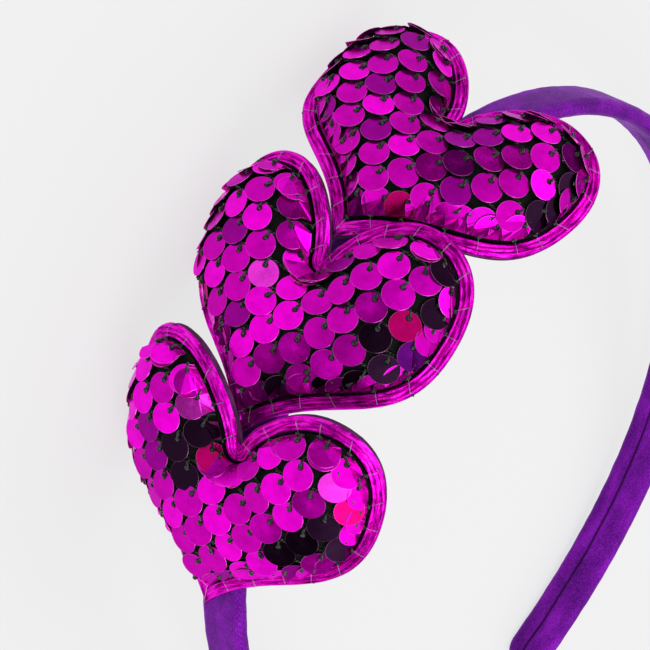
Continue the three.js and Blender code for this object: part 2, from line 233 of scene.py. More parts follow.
def build_weave():
    """Satin weave: fine threads down the strip, each passing over the cross threads in long floats."""
    group = bpy.data.node_groups.new("weave", "ShaderNodeTree")
    group.interface.new_socket("Vector", in_out="INPUT", socket_type="NodeSocketVector")
    group.interface.new_socket("Threads", in_out="INPUT", socket_type="NodeSocketFloat")
    group.interface.new_socket("Height", in_out="OUTPUT", socket_type="NodeSocketFloat")
    source = wire(group, "NodeGroupInput")
    scaled = wire(
        group, "ShaderNodeVectorMath", {0: source.outputs["Vector"], "Scale": source.outputs["Threads"]},
        operation="SCALE",
    )
    parts = wire(group, "ShaderNodeSeparateXYZ", {0: scaled.outputs[0]})

    def sine(value, pace):
        turned = wire(group, "ShaderNodeMath", {0: value, 1: pace}, operation="MULTIPLY")
        return wire(group, "ShaderNodeMath", {0: turned.outputs[0]}, operation="SINE").outputs[0]

    threads = sine(parts.outputs["Z"], 2 * math.pi)
    slant = wire(
        group, "ShaderNodeMath", {0: parts.outputs["Z"], 1: 2.5, 2: parts.outputs["X"]},
        operation="MULTIPLY_ADD",
    )
    floats = sine(slant.outputs[0], math.pi / 2.5)
    height = wire(group, "ShaderNodeMath", {0: threads, 1: floats}, operation="ADD")
    output = wire(group, "NodeGroupOutput", {"Height": height.outputs[0]})
    return group


def satin():
    """Purple satin: dense threads with a soft gloss, brighter and darker in slow blotches."""
    material, tree, shader = new_material("satin")
    lay = layout_of(tree)
    blotch = mottle(tree, stretched(tree, lay, (0.5, 1, 1)), 0.22, 4, 0.6)
    colour = ramp(tree, blotch, [(0.3, (0.075, 0.003, 0.18)), (0.5, (0.18, 0.006, 0.35)),
                                 (0.68, (0.34, 0.012, 0.62))])
    fuzz = mottle(tree, lay, 3.2, 2)
    flecked = wire(tree, "ShaderNodeMix", {0: 0.35, 6: colour, 7: ramp(tree, fuzz, [
        (0.35, (0.02, 0.0, 0.06)), (0.65, (0.3, 0.02, 0.5))])}, data_type="RGBA", blend_type="MIX")
    parts = wire(tree, "ShaderNodeSeparateXYZ", {0: lay})
    # Painted shade: a near black line along the edge of the lapped seam, on the face towards the head,
    # where the crease falls in shade.
    from_seam = reckon(tree, "ADD", parts.outputs["Z"], -SEAM_EDGE / MM)
    away = reckon(tree, "ABSOLUTE", from_seam)
    seam_shade_strength = wire(tree, "ShaderNodeMapRange", {"Value": away, 1: 0.1, 2: 0.42, 3: 0.9, 4: 0.0}).outputs[0]
    inner = reckon(tree, "LESS_THAN", parts.outputs["Y"], 0.0)
    seam_painted_shade = reckon(tree, "MULTIPLY", seam_shade_strength, inner)
    seam_shaded_colour = wire(tree, "ShaderNodeMix", {0: seam_painted_shade, 6: flecked.outputs[2], 7: (0.012, 0.0, 0.03, 1)},
                  data_type="RGBA")
    tree.links.new(seam_shaded_colour.outputs[2], shader.inputs["Base Color"])
    weave = wire(tree, "ShaderNodeGroup", {"Vector": lay, "Threads": 4.0}, node_tree=build_weave())
    uneven = reckon(tree, "MULTIPLY_ADD", fuzz, 2.2, weave.outputs["Height"])
    bump = wire(tree, "ShaderNodeBump", {"Strength": 0.55, "Distance": 0.06 * MM, "Height": uneven})
    tree.links.new(bump.outputs[0], shader.inputs["Normal"])
    shader.inputs["Roughness"].default_value = 0.4
    shader.inputs["Metallic"].default_value = 0.45
    shader.inputs["Specular IOR Level"].default_value = 0.2
    shader.inputs["Specular Tint"].default_value = (0.75, 0.2, 1, 1)
    return material


def finish_piece(piece, material, slot, *nodes, angle=40):
    """Gives a piece its material, smooths it and puts it on the headband for its CAD nodes."""
    piece.data.materials.clear()
    piece.data.materials.append(material)
    select_only(piece)
    bpy.ops.object.shade_smooth_by_angle(angle=math.radians(angle))
    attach(piece, "root")
    if nodes:
        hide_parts(*nodes)


def face_outward(piece, merge=1e-6):
    """Merges doubled points and turns the faces of a closed skin outwards."""
    select_only(piece)
    bpy.ops.object.mode_set(mode="EDIT")
    bpy.ops.mesh.select_all(action="SELECT")
    bpy.ops.mesh.remove_doubles(threshold=merge)
    bpy.ops.mesh.dissolve_degenerate(threshold=merge)
    bpy.ops.mesh.normals_make_consistent(inside=False)
    bpy.ops.object.mode_set(mode="OBJECT")


face_outward(band)
finish_piece(band, satin(), "satin", "band")


# Hearts. Each is laid out flat, its point at (0, 0) and its lobes towards +Y, with height 0 between
# its felt back and its foil rim. It is then bent round the strip and glued on, one over another:
# down and side are its place on the strip, lift how far it stands off, droop the radius of its bend.
HEART_LENGTH = 47.1 * MM
HEART_WIDTH = 55.8 * MM
NOTCH_DEPTH = 13.5 * MM
LOBE_SPREAD = 30.8 * MM
WIDEST_DEPTH = 14.5 * MM
MIDDLE_LEVEL = HEART_LENGTH * 0.488
CLEARANCE = 0.3 * MM
BACK_THICKNESS = 1 * MM
RIM_WIDTH = 2.7 * MM
RIM_THICKNESS = 1 * MM
HEARTS = [
    dict(name="top", down=0.0923, side=0, lift=3.88, twist=-3.4, roll=12.3, pitch=3.3,
         droop=80, loft=7.21),
    dict(name="middle", down=0.1894, side=0.36, lift=3.99, twist=-3.1, roll=0.3, pitch=9,
         droop=64, loft=7.07),
    dict(name="lower", down=0.278, side=1.98, lift=5.0, twist=-6.5, roll=1.3, pitch=13.1,
         droop=58.5, loft=6.58),
]


def side_line(stations=74):
    """Right side of the outline from the notch round the lobe to the point, at even steps, each
    point with the direction into the heart. The notch is a corner and has a fan of directions."""
    lobe = Vector((LOBE_SPREAD / 2, HEART_LENGTH, 0))
    widest = Vector((HEART_WIDTH / 2, HEART_LENGTH - WIDEST_DEPTH, 0))
    notch = Vector((0, HEART_LENGTH - NOTCH_DEPTH, 0))
    crown = widest.x - lobe.x
    curves = [
        (notch, (lobe.x * 0.0325, notch.y + NOTCH_DEPTH * 0.28), (lobe.x * 0.47, lobe.y), lobe),
        (lobe, (lobe.x + crown * 0.63, lobe.y), (widest.x, widest.y + WIDEST_DEPTH * 0.6), widest),
        (widest, (widest.x, widest.y * 0.33), (HEART_WIDTH * 0.182, HEART_LENGTH * 0.348), (0, 0)),
    ]
    fine = []
    for curve in curves:
        fine += [p.to_2d() for p in interpolate_bezier(*[Vector(p).to_3d() for p in curve], 90)][:-1]
    fine.append(Vector((0, 0)))
    steps = [0.0] + list(np.cumsum([(b - a).length for a, b in zip(fine, fine[1:])]))
    xs, ys = [p.x for p in fine], [p.y for p in fine]
    line = []
    for way in np.linspace(0, steps[-1], stations):
        ahead, behind = min(way + 1e-4, steps[-1]), max(way - 1e-4, 0)
        tangent = Vector((np.interp(ahead, steps, xs) - np.interp(behind, steps, xs),
                          np.interp(ahead, steps, ys) - np.interp(behind, steps, ys))).normalized()
        line.append((Vector((np.interp(way, steps, xs), np.interp(way, steps, ys))),
                     Vector((tangent.y, -tangent.x))))
    corner, leaving = line[0]
    start = math.atan2(leaving.y, leaving.x)
    fan = [-math.pi / 2 + (start + math.pi / 2) * i / 4 for i in range(4)]
    return [(corner, Vector((math.cos(a), math.sin(a)))) for a in fan] + line


right_side = side_line()


def heart_line(inset):
    """The whole outline moved inwards by an inset, counterclockwise from the notch. What would
    cross the middle line near the point is held on it."""
    right = [place + inward * inset for place, inward in right_side]
    crossing = next((i for i, p in enumerate(right) if i > 4 and p.x < 0), None)
    if crossing:
        a, b = right[crossing - 1], right[crossing]
        meeting = Vector((0, a.y + (b.y - a.y) * a.x / (a.x - b.x)))
        right[crossing:] = [meeting] * (len(right) - crossing)
    left = [Vector((-p.x, p.y)) for p in right[-2:0:-1]]
    return [right[0]] + left[::-1] + right[:0:-1]


heart_rim = np.array(heart_line(0))
pad_rim = np.array(heart_line(RIM_WIDTH + CLEARANCE))
HEART_CENTRE = Vector((0, HEART_LENGTH * 0.467))


def depth_inside(rim, x, y):
    """How far a point is inside a closed line, negative outside it."""
    ends = np.roll(rim, -1, axis=0)
    sides = ends - rim
    offsets = np.array((x, y)) - rim
    lengths = np.maximum((sides**2).sum(1), 1e-18)
    shares = np.clip((offsets * sides).sum(1) / lengths, 0, 1)
    nearest = np.sqrt(((offsets - sides * shares[:, None]) ** 2).sum(1).min())
    spans = (rim[:, 1] > y) != (ends[:, 1] > y)
    rise = np.where(spans, ends[:, 1] - rim[:, 1], 1)
    cuts = (ends[:, 0] - rim[:, 0]) * (y - rim[:, 1]) / rise + rim[:, 0]
    return nearest if np.count_nonzero(spans & (x < cuts)) % 2 else -nearest


def heart_place(heart):
    """Where a flat layout lands once it is bent: onto the strip, tilted."""
    point, along, away = bow_at(-heart["down"] * BAND_LENGTH)
    across = Vector((0, 0, 1))
    spot = point + away * heart["lift"] * MM + across * heart["side"] * MM
    basis = Matrix((across, along, away)).transposed().to_4x4()
    tilt = Matrix.Identity(4)
    for angle, axis in (("pitch", "X"), ("roll", "Y"), ("twist", "Z")):
        tilt = tilt @ Matrix.Rotation(math.radians(heart[angle]), 4, axis)
    return lying @ Matrix.Translation(spot) @ basis @ tilt


for heart in HEARTS:
    heart["place"] = heart_place(heart)
    heart["droop"] *= MM
    heart["loft"] *= MM


def flat_in(heart, point):
    """Unbends a point of the frame into a heart's flat layout."""
    p = heart["place"].inverted() @ point
    angle = math.atan2(p.x, p.z + heart["droop"])
    height = math.hypot(p.x, p.z + heart["droop"]) - heart["droop"]
    return Vector((angle * heart["droop"], p.y + MIDDLE_LEVEL, height))


def bent_from(heart, flat):
    """Bends a point of a heart's flat layout to its place in the frame."""
    angle = flat.x / heart["droop"]
    radius = heart["droop"] + flat.z
    return heart["place"] @ Vector((radius * math.sin(angle), flat.y - MIDDLE_LEVEL,
                                    radius * math.cos(angle) - heart["droop"]))


UNDERSIDE = -CLEARANCE / 2 - BACK_THICKNESS
PRESS_GAP = 0.25 * MM


def press_under(heart, point):
    """Holds a point of the frame under the next heart, where that one lies over it."""
    if heart is HEARTS[-1]:
        return point
    over = HEARTS[HEARTS.index(heart) + 1]
    flat = flat_in(over, point)
    room = UNDERSIDE - PRESS_GAP
    if flat.z > room and depth_inside(heart_rim, flat.x, flat.y) > -PRESS_GAP:
        flat.z = room
        return bent_from(over, flat)
    return point


curl_axis = bpy.data.objects.new("curl_axis", None)
bpy.context.scene.collection.objects.link(curl_axis)
curl_axis.rotation_euler = (math.pi / 2, 0, 0)


def put_on_band(piece, heart):
    """Bends a flat laid piece round the strip, sets it in its place and presses it under the next."""
    widths = [vertex.co.x for vertex in piece.data.vertices]
    curl = piece.modifiers.new("curl", "SIMPLE_DEFORM")
    curl.deform_method = "BEND"
    curl.deform_axis = "Z"
    curl.origin = curl_axis
    curl.angle = -(max(widths) - min(widths)) / heart["droop"]
    apply_modifiers(piece)
    piece.data.transform(heart["place"] @ Matrix.Translation((0, -MIDDLE_LEVEL, 0)))
    for vertex in piece.data.vertices:
        vertex.co = press_under(heart, vertex.co)
    piece.data.update()


# Felt backs. A sheet of soft felt cut to the heart's outline, which carries all that is sewn on it
# and is glued to the band. Only its cut edge shows beside the rim.
def felt():
    """Plum felt: matted short fibres, without a weave."""
    material, tree, shader = new_material("felt")
    lay = layout_of(tree)
    fibres = mottle(tree, stretched(tree, lay, (1, 1, 2)), 2.6, 6, 0.7)
    patches = mottle(tree, lay, 0.3, 3)
    mixed = reckon(tree, "MULTIPLY_ADD", fibres, 0.6, patches)
    colour = ramp(tree, mixed, [(0.5, (0.03, 0.004, 0.03)), (0.8, (0.08, 0.008, 0.075)),
                                (1.0, (0.16, 0.02, 0.14))])
    tree.links.new(colour, shader.inputs["Base Color"])
    bump = wire(tree, "ShaderNodeBump", {"Strength": 0.8, "Distance": 0.15 * MM, "Height": fibres})
    tree.links.new(bump.outputs[0], shader.inputs["Normal"])
    shader.inputs["Roughness"].default_value = 0.95
    return material


FELT_INSET = 0.3 * MM
FELT_RINGS = 14
FELT_FLUFF = 0.06 * MM


def ring_body(name, line, rings):
    """A closed body, from a grid laid in rings round the heart's middle, from below to above."""
    around = len(line)
    bpy.ops.object.select_all(action="DESELECT")
    bpy.ops.mesh.primitive_grid_add(x_subdivisions=around, y_subdivisions=len(rings) - 1, size=1)
    body = bpy.context.object
    body.name = name
    for index, vertex in enumerate(body.data.vertices):
        row, i = divmod(index, around + 1)
        share, level = rings[row]
        vertex.co = (*HEART_CENTRE.lerp(line[i % around], share), level)
    return body


def cut_felt(heart):
    """One back: the outline on both faces of the felt, a little fluffy."""
    shares = [k / FELT_RINGS for k in range(FELT_RINGS + 1)]
    rings = [(share, UNDERSIDE) for share in shares]
    rings += [(share, UNDERSIDE + BACK_THICKNESS) for share in reversed(shares)]
    back = ring_body(f"{heart['name']}_heart_felt", heart_line(FELT_INSET), rings)
    for vertex in back.data.vertices:
        vertex.co.z += FELT_FLUFF * noise.noise(vertex.co / (1.3 * MM))
    face_outward(back)
    keep_layout(back)
    return back


felt_cloth = felt()
for heart in HEARTS:
    back = cut_felt(heart)
    put_on_band(back, heart)
    finish_piece(back, felt_cloth, "backing", f"{heart['name']}_heart_back")


# Foil rims. The sequin film again, as a tape folded round the heart's edge and pressed flat in
# creases that run along it, so that it lies in narrow glossy ridges with grooves between them, which
# are painted dark as shade.
RIM_ROWS = 26
GROOVES = (0.33, 0.66)
GROOVE_WIDTH = 0.075
GROOVE_DEPTH = 0.42
RIM_CRUSH = 0.1
RIM_SWELL = 0.16


def rim_relief(way, share, seed):
    """Relief of the pressed foil at a way round the heart and a share across it: its height as a
    share of the rim's thickness, and how deep it lies in a groove."""
    groove = 0.0
    for k, middle in enumerate(GROOVES):
        waver = 0.09 * noise.noise(Vector((way / (4.2 * MM), k * 7.0, seed)))
        waver += 0.025 * noise.noise(Vector((way / (0.9 * MM), k * 7.0, seed + 3)))
        depth = 0.75 + 0.9 * noise.noise(Vector((way / (3.0 * MM), k * 5.0, seed + 6)))
        near = math.exp(-(((share - middle - waver) / GROOVE_WIDTH) ** 2))
        groove = max(groove, near * min(max(depth, 0.15), 1))
    crush = noise.noise(Vector((way / (2.2 * MM), share * 6, seed + 4)))
    slow = noise.noise(Vector((way / (6 * MM), share * 1.5, seed + 9)))
    round_off = min(1.0, 6 * share, 5 * (1 - share)) ** 0.5
    return round_off * (0.9 + RIM_CRUSH * crush + RIM_SWELL * slow - GROOVE_DEPTH * groove), groove


def press_foil(heart, seed):
    """One rim, from a grid laid round the outline with its ends joined."""
    lines = [heart_line(RIM_WIDTH * k / RIM_ROWS) for k in range(RIM_ROWS + 1)]
    around = len(lines[0])
    bpy.ops.object.select_all(action="DESELECT")
    bpy.ops.mesh.primitive_grid_add(x_subdivisions=around, y_subdivisions=RIM_ROWS + 3, size=1)
    rim = bpy.context.object
    rim.name = f"{heart['name']}_heart_rim"
    ways = [0.0]
    for i in range(around):
        ways.append(ways[-1] + (lines[0][(i + 1) % around] - lines[0][i]).length)
    along = rim.data.attributes.new("along", "FLOAT_VECTOR", "POINT")
    for index, vertex in enumerate(rim.data.vertices):
        row, i = divmod(index, around + 1)
        k = min(max(row - 1, 0), RIM_ROWS) if row < RIM_ROWS + 3 else 0
        is_floor = row in (0, RIM_ROWS + 2, RIM_ROWS + 3)
        place = lines[k][i % around]
        share = k / RIM_ROWS
        height, groove = rim_relief(ways[i % around], share, seed)
        vertex.co = (place.x, place.y, CLEARANCE / 2 + (0 if is_floor else height * RIM_THICKNESS))
        # The third value is how deep the point lies in a groove, which the material darkens as painted
        # shade.
        along.data[index].vector = (ways[i % around] / MM, share * RIM_WIDTH / MM, groove)
    face_outward(rim)
    keep_layout(rim)
    return rim


def crushed_foil():
    """Magenta film, glossy on its ridges, painted dark with shade where it is folded in, and streaked
    along its creases.
    """
    material, tree, shader = new_material("crushed_foil")
    along = layout_of(tree, "along")
    streak = mottle(tree, stretched(tree, along, (0.22, 1.9, 0)), 1.1, 4, 0.6)
    colour = ramp(tree, streak, [
        (0.36, (0.06, 0.0, 0.05)), (0.42, (0.5, 0.0, 0.4)), (0.5, (0.9, 0.0, 0.68)),
        (0.56, (1.0, 0.02, 0.8)), (0.68, (0.85, 0.0, 0.6)), (0.74, (0.6, 0.0, 0.14))])
    groove = wire(tree, "ShaderNodeSeparateXYZ", {0: along}).outputs["Z"]
    # Painted shade: down in the grooves the foil is darkened towards near black.
    sunk = wire(tree, "ShaderNodeMapRange", {"Value": groove, 1: 0.6, 2: 0.95, 3: 0.0, 4: 0.9}).outputs[0]
    folded = wire(tree, "ShaderNodeMix", {0: sunk, 6: colour, 7: (0.035, 0.002, 0.035, 1)},
                  data_type="RGBA")
    tree.links.new(folded.outputs[2], shader.inputs["Base Color"])
    dents = mottle(tree, stretched(tree, along, (0.45, 2.6, 0)), 1.3, 4, 0.55)
    bump = wire(tree, "ShaderNodeBump", {"Strength": 0.8, "Distance": 0.3 * MM, "Height": dents})
    tree.links.new(bump.outputs[0], shader.inputs["Normal"])
    rough = wire(tree, "ShaderNodeMapRange", {"Value": mottle(tree, along, 0.9), 3: 0.08, 4: 0.26})
    tree.links.new(rough.outputs[0], shader.inputs["Roughness"])
    shader.inputs["Metallic"].default_value = 0.9
    shader.inputs["Specular Tint"].default_value = (1, 0.3, 0.95, 1)
    return material


foil = crushed_foil()
for seed, heart in enumerate(HEARTS):
    rim = press_foil(heart, seed * 31)
    put_on_band(rim, heart)
    finish_piece(rim, foil, "foil", f"{heart['name']}_heart_edge", angle=50)


# Pads. A ground of black sewing mesh stretched over soft stuffing, steep at the rim and flat on top,
# worked all over with twisted dark thread that carries the sequins from one to the next.
FLANK = 11 * MM
PAD_RINGS = 26
GROUND_SUNK = 0.5 * MM
SHOULDER = CLEARANCE / 2 + RIM_THICKNESS


def pad_height(heart, x, y, sunk=0):
    """Height of the pad's dome, or of its ground, which sinks in beside the rim."""
    share = min(max(depth_inside(pad_rim, x, y) - sunk, 0) / FLANK, 1)
    return SHOULDER + (heart["loft"] - SHOULDER) * math.sqrt(1 - (1 - share) ** 2)


def stuff_pad(heart):
    """One pad: flat below, its side in the foil rim, and rings drawn up and in over its dome."""
    rings = [(k / FELT_RINGS, CLEARANCE / 2) for k in range(FELT_RINGS + 1)]
    rings += [(1 - k / PAD_RINGS, SHOULDER) for k in range(PAD_RINGS + 1)]
    pad = ring_body(f"{heart['name']}_heart_ground", heart_line(RIM_WIDTH + 0.15 * MM), rings)
    for vertex in pad.data.vertices:
        if vertex.co.z > CLEARANCE:
            vertex.co.z = pad_height(heart, vertex.co.x, vertex.co.y, GROUND_SUNK)
    face_outward(pad)
    keep_layout(pad)
    return pad


def sewing_mesh():
    """Black mesh with a small open grid, dull, with some green grey lint."""
    material, tree, shader = new_material("sewing_mesh")
    lay = layout_of(tree)
    cells = wire(tree, "ShaderNodeTexVoronoi", {"Vector": lay, "Scale": 1.7}, feature="DISTANCE_TO_EDGE")
    lint = mottle(tree, lay, 1.4, 5, 0.7)
    colour = ramp(tree, lint, [(0.45, (0.001, 0.0015, 0.0015)), (0.68, (0.004, 0.007, 0.005)),
                               (0.82, (0.03, 0.045, 0.035))])
    tree.links.new(colour, shader.inputs["Base Color"])
    bump = wire(tree, "ShaderNodeBump", {"Strength": 1, "Distance": 0.2 * MM, "Height": cells.outputs[0]})
    tree.links.new(bump.outputs[0], shader.inputs["Normal"])
    shader.inputs["Roughness"].default_value = 0.75
    shader.inputs["Specular IOR Level"].default_value = 0.2
    return material


ground_mesh = sewing_mesh()
for heart in HEARTS:
    pad = stuff_pad(heart)
    put_on_band(pad, heart)
    finish_piece(pad, ground_mesh, "sequins", f"{heart['name']}_heart_pad")


# Sequins. Flat round discs of metallic plastic film, about 5 mm across, punched with a small hole off the
# middle and sewn through it in staggered rows, so that each hangs towards the heart's point with its
# lower edge raised over the next. They are dyed magenta, and a few are from another batch or worn. How
# bright or deep each disc's magenta is, and the near black discs, are painted reflection, for what
# each disc mirrors of the bright table or the dark room.
SEQUIN_DIAMETER = 5.2 * MM
SEQUIN_FILM = 0.11 * MM
SEQUIN_SIDES = 28
HOLE_DIAMETER = 1.0 * MM
HOLE_OFFSET = 1.45 * MM
ROW_TOP = HEART_LENGTH - 4.44 * MM
ROW_PITCH = 3.93 * MM
COLUMN_PITCH = 5.6 * MM
SEAT_MARGIN = -3.4 * MM
FLANK_FOOT = 0.9 * MM
STAND_OFF = 0.34 * MM
TUCK = -0.2 * MM
LATTICE_ROWS = 12
LATTICE_COLUMNS = 6
SHIFT_ACROSS = 0.13 * MM
SHIFT_DOWN = 0.1 * MM
HANG_TILT = 8.5
HANG_SPREAD = 3.6
LEAN_SPREAD = 4.2
SPIN_SPREAD = 9
# Dye colours with painted reflection: bright, plain and deep are one magenta painted lighter or darker
# for how much the disc mirrors of the bright table, and dark is a disc painted as mirroring the dark
# room. Violet, crimson and worn are the odd sequins' own colours.
DYES_AND_PAINTED_REFLECTIONS = {
    "bright": (1.0, 0.0, 0.78),
    "plain": (0.66, 0.0, 0.5),
    "deep": (0.34, 0.0, 0.3),
    "dark": (0.014, 0.004, 0.016),
    "violet": (0.1, 0.002, 0.16),
    "crimson": (0.45, 0.0, 0.12),
    "worn": (1.0, 0.04, 0.82),
}


def punch_sequin():
    """One disc, lying flat with its middle at the origin and its hole towards +Y."""
    bpy.ops.object.select_all(action="DESELECT")
    bpy.ops.mesh.primitive_circle_add(vertices=SEQUIN_SIDES, radius=SEQUIN_DIAMETER / 2)
    disc = bpy.context.object
    bpy.ops.object.mode_set(mode="EDIT")
    bpy.ops.mesh.primitive_circle_add(
        vertices=SEQUIN_SIDES, radius=HOLE_DIAMETER / 2, location=(0, HOLE_OFFSET, 0)
    )
    bpy.ops.mesh.select_all(action="SELECT")
    bpy.ops.mesh.bridge_edge_loops()
    bpy.ops.mesh.select_all(action="SELECT")
    bpy.ops.mesh.extrude_region_move(TRANSFORM_OT_translate={"value": (0, 0, SEQUIN_FILM)})
    bpy.ops.object.mode_set(mode="OBJECT")
    bevel = disc.modifiers.new("edge", "BEVEL")
    bevel.width = 0.03 * MM
    bevel.segments = 1
    bevel.limit_method = "ANGLE"
    apply_modifiers(disc)
    face_outward(disc)
    keep_layout(disc, "on_disc")
    return disc


def sequin_seats():
    """Middles of the sequins with their row and column, row below row from the lobes down."""
    seats = []
    for row in range(-1, LATTICE_ROWS):
        for column in range(-LATTICE_COLUMNS, LATTICE_COLUMNS + 1):
            place = Vector(((column + row % 2 / 2) * COLUMN_PITCH, ROW_TOP - row * ROW_PITCH))
            if depth_inside(pad_rim, *place) > SEAT_MARGIN:
                seats.append((row, column, place))
    return seats


def ground_frame(heart, x, y):
    """Turned frame that stands on the pad's ground at a point of the flat layout."""
    probe = 0.6 * MM
    slope_x = (pad_height(heart, x + probe, y) - pad_height(heart, x - probe, y)) / (2 * probe)
    slope_y = (pad_height(heart, x, y + probe) - pad_height(heart, x, y - probe)) / (2 * probe)
    normal = Vector((-slope_x, -slope_y, 1)).normalized()
    right = Vector((0, 1, 0)).cross(normal).normalized()
    basis = Matrix((right, normal.cross(right), normal)).transposed().to_4x4()
    return Matrix.Translation((x, y, pad_height(heart, x, y))) @ basis


def tuck_in(point):
    """Draws what would reach over the pad's rim back to it, down beside the foil."""
    here = point.copy()
    while depth_inside(pad_rim, here.x, here.y) < TUCK:
        here.xy = here.xy.lerp(HEART_CENTRE, 0.012)
        here.z = min(here.z, SHOULDER + 0.35 * MM)
    return here


def sew_sequins(heart, disc, chance):
    """All discs of one heart, joined. Each keeps its dyed colour with its painted reflection, and its
    wear for the material.
    """
    copies = []
    heart["sewn"] = []
    for row, column, place in sequin_seats():
        shift = Vector((chance.gauss(0, SHIFT_ACROSS), chance.gauss(0, SHIFT_DOWN)))
        while depth_inside(pad_rim, *place) < FLANK_FOOT:
            place = place.lerp(HEART_CENTRE, 0.02)
        tilt = math.radians(HANG_TILT + chance.gauss(0, HANG_SPREAD))
        lean = math.radians(chance.gauss(0, LEAN_SPREAD))
        spin = math.radians(chance.gauss(0, SPIN_SPREAD))
        wear = chance.random()
        # Tone of the painted reflection: random for each disc, lighter or darker in broad patches over
        # the heart.
        painted_tone = chance.random() + 0.7 * noise.noise(Vector((place.x, place.y, 0)) / (9 * MM))
        stand = ground_frame(heart, place.x + shift.x, place.y + shift.y)
        lift = STAND_OFF + HOLE_OFFSET * math.sin(tilt)
        seat = stand @ Matrix.Translation((0, 0, lift)) @ Matrix.Rotation(spin, 4, "Z")
        seat = seat @ Matrix.Rotation(-tilt, 4, "X") @ Matrix.Rotation(lean, 4, "Y")
        if depth_inside(pad_rim, *(seat @ Vector((0, HOLE_OFFSET, 0))).xy) > 0:
            heart["sewn"].append(seat)
        copy = disc.copy()
        copy.data = disc.data.copy()
        bpy.context.scene.collection.objects.link(copy)
        copy.data.transform(seat)
        dye_and_painted_reflection = copy.data.attributes.new("dye_and_painted_reflection", "FLOAT_COLOR", "POINT")
        marks = copy.data.attributes.new("marks", "FLOAT_VECTOR", "POINT")
        # Painted reflection: by its tone the disc's magenta is painted bright, plain or deep.
        painted_reflection_dye = "bright" if painted_tone < heart["bright"] else "plain" if painted_tone < heart["plain"] else "deep"
        colour = DYES_AND_PAINTED_REFLECTIONS[heart["odd"].get((row, column), painted_reflection_dye)]
        for k, vertex in enumerate(copy.data.vertices):
            vertex.co = tuck_in(vertex.co)
            dye_and_painted_reflection.data[k].color = (*colour, 1)
            marks.data[k].vector = (wear, painted_tone, 0)
        copies.append(copy)
    bpy.ops.object.select_all(action="DESELECT")
    for copy in copies:
        copy.select_set(True)
    bpy.context.view_layer.objects.active = copies[0]
    bpy.ops.object.join()
    sequins = copies[0]
    sequins.name = f"{heart['name']}_heart_sequins"
    return sequins


def sequin_film():
    """Metallic film: clear gloss over the dyed colour and its painted reflection, with a pale rim painted
    round each disc as a highlight and fine scratches that fan out from the middle.
    """
    material, tree, shader = new_material("sequin_film")
    on_disc = layout_of(tree, "on_disc")
    dye_and_painted_reflection = wire(tree, "ShaderNodeAttribute", attribute_name="dye_and_painted_reflection").outputs["Color"]
    marks = wire(tree, "ShaderNodeSeparateXYZ", {0: layout_of(tree, "marks")})
    flat = wire(tree, "ShaderNodeVectorMath", {0: on_disc, 1: (1, 1, 0)}, operation="MULTIPLY").outputs[0]
    spoke = wire(tree, "ShaderNodeVectorMath", {0: flat}, operation="NORMALIZE").outputs[0]
    reach = wire(tree, "ShaderNodeVectorMath", {0: flat}, operation="LENGTH").outputs["Value"]
    own = reckon(tree, "MULTIPLY", marks.outputs[0], 40.0)
    outwards = reckon(tree, "MULTIPLY_ADD", reach, 0.25, own)
    shifted = wire(tree, "ShaderNodeCombineXYZ", {2: outwards}).outputs[0]
    fan = wire(tree, "ShaderNodeVectorMath", {0: spoke, 1: shifted}, operation="ADD").outputs[0]
    scratch = mottle(tree, fan, 14, 3, 0.7)
    around = wire(tree, "ShaderNodeVectorMath", {0: on_disc, 1: shifted}, operation="ADD").outputs[0]
    cloud = mottle(tree, around, 0.5, 3)
    shade = wire(tree, "ShaderNodeMapRange", {"Value": cloud, 1: 0.3, 2: 0.7, 3: 0.8, 4: 1.08}).outputs[0]
    toned = wire(tree, "ShaderNodeVectorMath", {0: dye_and_painted_reflection, "Scale": shade}, operation="SCALE").outputs[0]
    rim = SEQUIN_DIAMETER / 2 / MM
    # Painted highlight: the outermost rim of each disc is mixed half way to pale pink, as a glint on its
    # edge.
    edge = wire(tree, "ShaderNodeMapRange", {"Value": reach, 1: rim - 0.07, 2: rim, 3: 0.0, 4: 0.5})
    rim_painted_highlight = wire(tree, "ShaderNodeMix", {0: edge.outputs[0], 6: toned, 7: (0.8, 0.3, 0.65, 1)},
                  data_type="RGBA")
    tree.links.new(rim_painted_highlight.outputs[2], shader.inputs["Base Color"])
    gloss = wire(tree, "ShaderNodeMapRange", {"Value": scratch, 1: 0.3, 2: 0.75, 3: 0.09, 4: 0.3})
    tree.links.new(gloss.outputs[0], shader.inputs["Roughness"])
    bump = wire(tree, "ShaderNodeBump", {"Strength": 0.3, "Distance": 0.06 * MM, "Height": scratch})
    tree.links.new(bump.outputs[0], shader.inputs["Normal"])
    shader.inputs["Metallic"].default_value = 0.9
    shader.inputs["Specular Tint"].default_value = (1, 0.3, 0.95, 1)
    return material


# Painted reflection: tones up to bright are painted bright and up to plain plain, the rest deep. The
# odd sequins are given by their row and column, as they lie on the hearts in the photograph: the dark
# ones are painted as mirroring the dark room, the others are of another batch or worn.
HEARTS[0].update(bright=0.2, plain=0.85, odd={
    (4, 4): "dark", (2, 4): "dark", (3, 4): "dark", (8, 1): "crimson",
})
HEARTS[1].update(bright=0.5, plain=1.0, odd={
    (8, 1): "dark", (7, 2): "dark", (6, 3): "dark", (5, 3): "dark", (4, 3): "dark", (2, 4): "dark",
    (4, 4): "violet", (3, 3): "crimson", (0, 4): "dark", (4, -1): "worn", (6, -3): "crimson",
})
HEARTS[2].update(bright=0.6, plain=1.1, odd={
    (3, -2): "dark", (2, -1): "dark", (4, -1): "dark", (3, 3): "dark", (4, 4): "dark", (4, 3): "dark",
    (5, 2): "dark", (3, -1): "crimson", (2, 4): "crimson", (1, -2): "worn", (1, 3): "worn",
})

